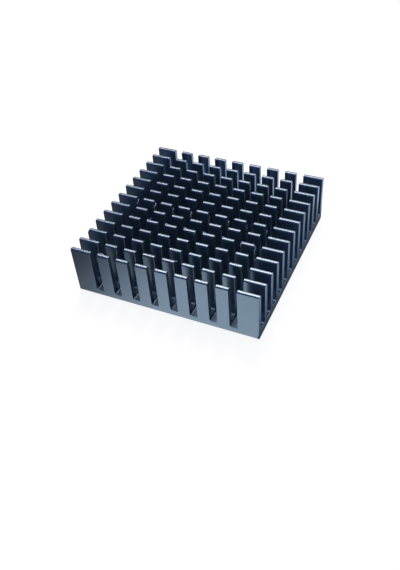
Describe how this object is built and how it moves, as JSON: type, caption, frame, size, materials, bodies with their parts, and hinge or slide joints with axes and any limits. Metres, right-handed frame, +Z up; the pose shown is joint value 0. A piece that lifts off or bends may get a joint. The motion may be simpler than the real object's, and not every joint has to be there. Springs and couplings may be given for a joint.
{
  "type": "pin fin heat sink",
  "caption": "Square low-profile heat sink: a flat base carries a dense field of thin flat pins, cut from one finned extrusion, to cool a chip by free or forced air.",
  "frame": {"origin": "centre of the flat mounting face, at the bottom of the base", "axes": "+Z up from the mounting face to the pin tips, X along the extrusion's channels, Y across the fins"},
  "size_m": [0.04, 0.04, 0.011],
  "materials": {
    "black_anodised": "satin black anodised, extruded and saw-cut faces"
  },
  "bodies": {
    "root": {"heat_sink": "black_anodised"}
  },
  "joints": []
}
